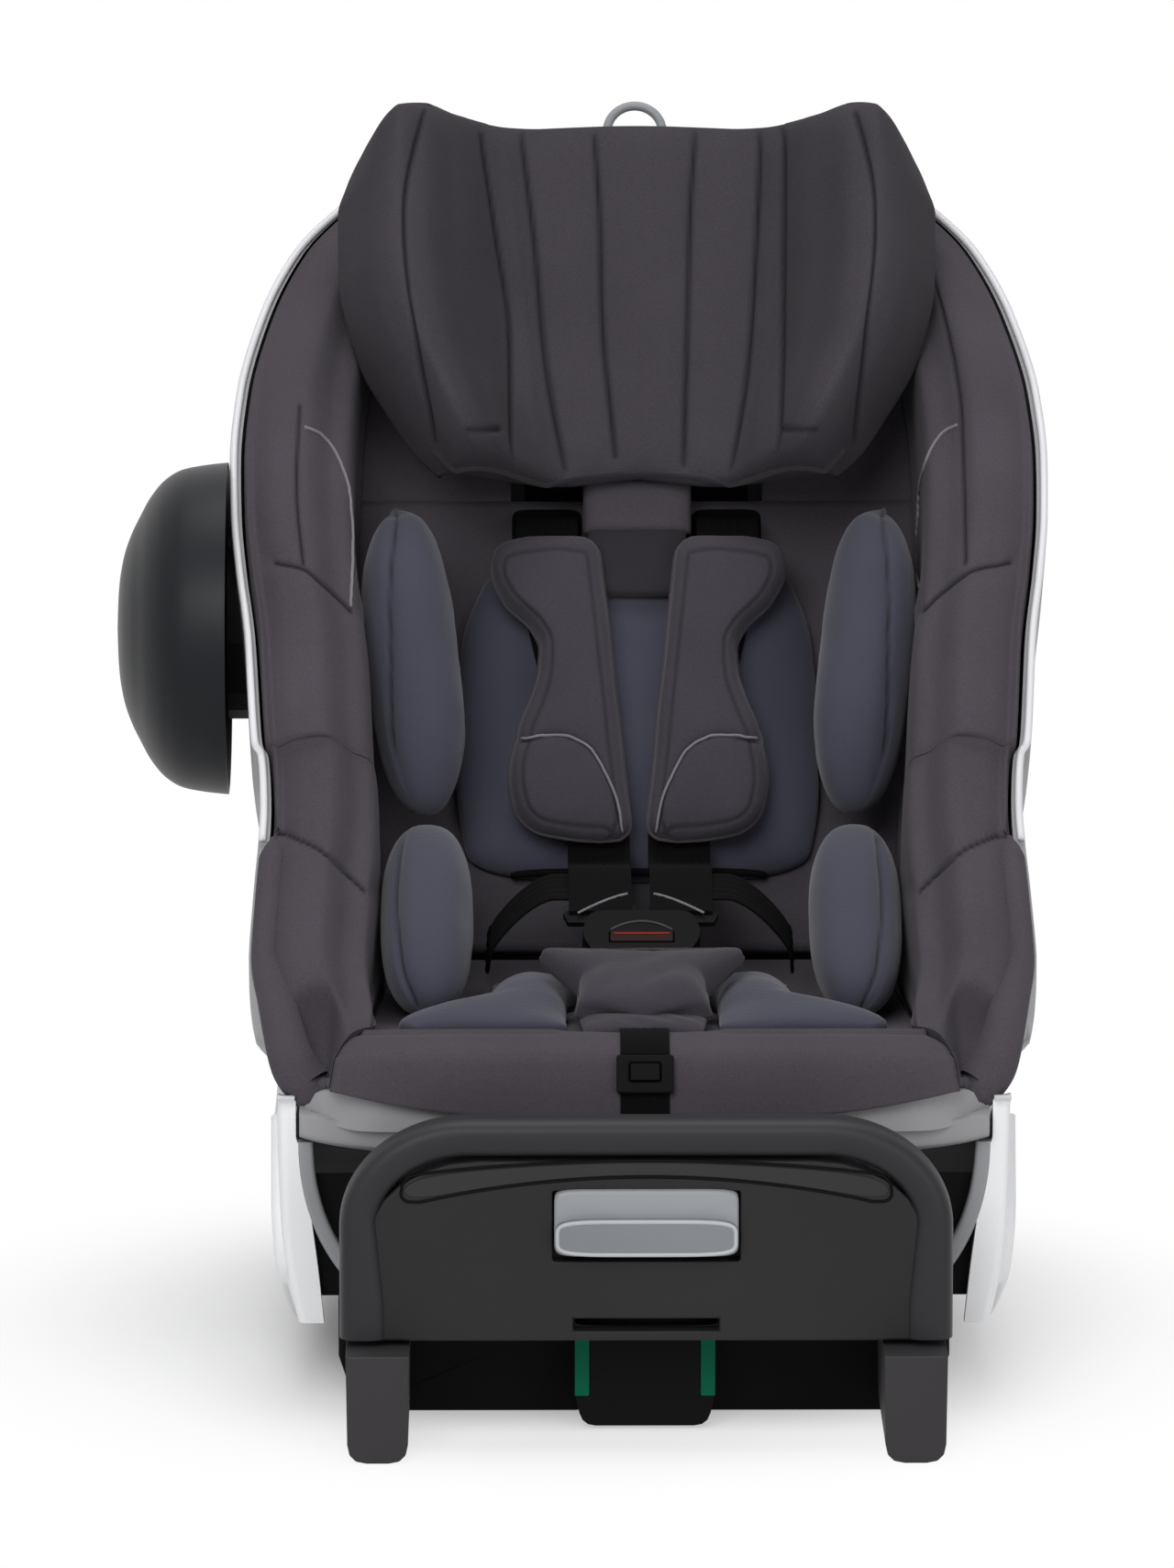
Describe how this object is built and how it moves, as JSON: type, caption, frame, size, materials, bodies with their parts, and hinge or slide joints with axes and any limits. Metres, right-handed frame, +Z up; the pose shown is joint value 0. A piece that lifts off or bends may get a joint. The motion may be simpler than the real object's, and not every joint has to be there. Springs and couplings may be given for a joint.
{
  "type": "rear-facing child car seat",
  "caption": "Rear-facing child car seat on a base with rebound panel, load leg and lower anchor connectors; padded wings, headrest, harness and newborn insert.",
  "frame": {"origin": "middle of the underside of the whole object's bounding box, which takes in the side cup; the seat's own middle plane lies at X = +0.031", "axes": "+Z up; -Y is the front, where the panel and the child's feet are; +X is the right of someone who looks at the front; the side cup stands out towards -X"},
  "size_m": [0.51, 0.644, 0.6613],
  "materials": {
    "black_plastic": "moulded plastic, fine grain, satin",
    "dark_plastic": "moulded plastic, satin",
    "leg_plastic": "moulded plastic, satin",
    "rim_rubber": "soft-touch moulding, matt",
    "shell_grey": "light grey moulding, fine grain",
    "silver": "silver paint, satin",
    "handle_grey": "grey plastic, half gloss",
    "cup_black": "dark plastic, half gloss",
    "button_red": "red plastic, half gloss",
    "marker_green": "green plastic, matt",
    "steel": "drawn steel",
    "leg_metal": "anodised extrusion",
    "cover_fabric": "knitted cover over foam, dark grey",
    "insert_fabric": "smooth jersey over foam, blue-grey",
    "webbing": "woven belt webbing, black",
    "piping_silver": "reflective piping, silver grey"
  },
  "bodies": {
    "base": {"base_tray": "black_plastic", "base_cradle": "black_plastic", "rebound_frame": "rim_rubber", "rebound_panel": "dark_plastic", "side_plate_left": "silver", "side_plate_right": "silver", "cradle_trim_left": "silver", "cradle_trim_right": "silver"},
    "seat": {"seat_shell": "shell_grey", "cover_seat": "cover_fabric", "cover_back": "cover_fabric", "cover_side_left": "cover_fabric", "cover_side_right": "cover_fabric", "cover_wing_left": "cover_fabric", "cover_wing_right": "cover_fabric", "rim_piping_left": "piping_silver", "rim_piping_right": "piping_silver", "headrest_rails": "steel", "insert_back": "insert_fabric", "insert_seat": "insert_fabric", "insert_wing_left": "insert_fabric", "insert_wing_right": "insert_fabric", "insert_hip_left": "insert_fabric", "insert_hip_right": "insert_fabric", "harness_belt_left": "webbing", "harness_belt_right": "webbing", "crotch_strap": "webbing", "crotch_pad": "cover_fabric", "buckle_housing": "black_plastic", "adjuster_housing": "black_plastic", "adjuster_strap": "webbing", "side_cup_mount": "black_plastic"},
    "headrest": {"headrest_shell": "black_plastic", "headrest_pad": "cover_fabric", "headrest_wing_left": "cover_fabric", "headrest_wing_right": "cover_fabric", "headrest_apron": "cover_fabric", "shoulder_pad_left": "cover_fabric", "shoulder_pad_right": "cover_fabric"},
    "headrest_loop": {"headrest_handle": "handle_grey"},
    "handle": {"recline_handle": "handle_grey"},
    "leg_tube": {"load_leg_outer": "leg_metal"},
    "leg_stem": {"load_leg_inner": "leg_metal", "load_leg_foot": "black_plastic", "foot_strip_left": "marker_green", "foot_strip_right": "marker_green"},
    "leg_catch": {"load_leg_button": "dark_plastic"},
    "buckle_press": {"buckle_button": "button_red"},
    "adjuster_press": {"adjuster_button": "dark_plastic"},
    "cup": {"side_cup": "cup_black"},
    "connector_left": {"isofix_arm_left": "steel"},
    "hook_left": {"isofix_hook_left": "steel"},
    "release_left": {"isofix_release_left": "dark_plastic"},
    "connector_cap_left": {"connector_cover_left": "leg_plastic"},
    "tongue_left": {"buckle_tongue_left": "black_plastic"},
    "connector_right": {"isofix_arm_right": "steel"},
    "hook_right": {"isofix_hook_right": "steel"},
    "release_right": {"isofix_release_right": "dark_plastic"},
    "connector_cap_right": {"connector_cover_right": "leg_plastic"},
    "tongue_right": {"buckle_tongue_right": "black_plastic"}
  },
  "joints": [
    {"name": "seat_recline", "type": "hinge", "parent": "base", "child": "seat", "pos_m": [0.031, -0.042, 0.56], "axis": [1, 0, 0], "range_deg": [0, 10]},
    {"name": "headrest_lift", "type": "slide", "parent": "seat", "child": "headrest", "axis": [0, 0.4848, 0.8746], "range_m": [0, 0.12]},
    {"name": "headrest_loop_pull", "type": "slide", "parent": "headrest", "child": "headrest_loop", "axis": [0, 0.4848, 0.8746], "range_m": [0, 0.008], "stiffness_N_per_m": 400, "springref_m": -0.004},
    {"name": "recline_handle_pull", "type": "slide", "parent": "base", "child": "handle", "axis": [0, -1, 0], "range_m": [0, 0.012], "stiffness_N_per_m": 1500, "springref_m": -0.006},
    {"name": "leg_fold", "type": "hinge", "parent": "base", "child": "leg_tube", "pos_m": [0.031, 0.278, 0.025], "axis": [1, 0, 0], "range_deg": [0, 95]},
    {"name": "leg_slide", "type": "slide", "parent": "leg_tube", "child": "leg_stem", "axis": [0, -1, 0], "range_m": [0, 0.3]},
    {"name": "leg_catch_press", "type": "slide", "parent": "leg_tube", "child": "leg_catch", "axis": [0, 0, 1], "range_m": [0, 0.0015], "stiffness_N_per_m": 900, "springref_m": -0.002},
    {"name": "buckle_press", "type": "slide", "parent": "seat", "child": "buckle_press", "axis": [0, 0.4067, -0.9135], "range_m": [0, 0.003], "stiffness_N_per_m": 2500, "springref_m": -0.002},
    {"name": "adjuster_press", "type": "slide", "parent": "seat", "child": "adjuster_press", "axis": [0, 0.9707, -0.2403], "range_m": [0, 0.0015], "stiffness_N_per_m": 900, "springref_m": -0.002},
    {"name": "cup_pull", "type": "slide", "parent": "seat", "child": "cup", "axis": [-1, 0, 0], "range_m": [0, 0.045]},
    {"name": "connector_slide_left", "type": "slide", "parent": "base", "child": "connector_left", "axis": [0, -1, 0], "range_m": [0, 0.12]},
    {"name": "hook_turn_left", "type": "hinge", "parent": "connector_left", "child": "hook_left", "pos_m": [-0.109, -0.283, 0.0385], "axis": [-1, 0, 0], "range_deg": [0, 20], "stiffness_Nm_per_rad": 0.4, "springref_deg": -17.19},
    {"name": "release_press_left", "type": "slide", "parent": "connector_left", "child": "release_left", "axis": [0, 0, -1], "range_m": [0, 0.0025], "stiffness_N_per_m": 900, "springref_m": -0.002},
    {"name": "connector_cap_pull_left", "type": "slide", "parent": "connector_left", "child": "connector_cap_left", "axis": [0, -1, 0], "range_m": [0, 0.06]},
    {"name": "tongue_slide_left", "type": "slide", "parent": "seat", "child": "tongue_left", "axis": [0, 0.9135, 0.4067], "range_m": [0, 0.025]},
    {"name": "connector_slide_right", "type": "slide", "parent": "base", "child": "connector_right", "axis": [0, -1, 0], "range_m": [0, 0.12]},
    {"name": "hook_turn_right", "type": "hinge", "parent": "connector_right", "child": "hook_right", "pos_m": [0.171, -0.283, 0.0385], "axis": [-1, 0, 0], "range_deg": [0, 20], "stiffness_Nm_per_rad": 0.4, "springref_deg": -17.19},
    {"name": "release_press_right", "type": "slide", "parent": "connector_right", "child": "release_right", "axis": [0, 0, -1], "range_m": [0, 0.0025], "stiffness_N_per_m": 900, "springref_m": -0.002},
    {"name": "connector_cap_pull_right", "type": "slide", "parent": "connector_right", "child": "connector_cap_right", "axis": [0, -1, 0], "range_m": [0, 0.06]},
    {"name": "tongue_slide_right", "type": "slide", "parent": "seat", "child": "tongue_right", "axis": [0, 0.9135, 0.4067], "range_m": [0, 0.025]}
  ]
}
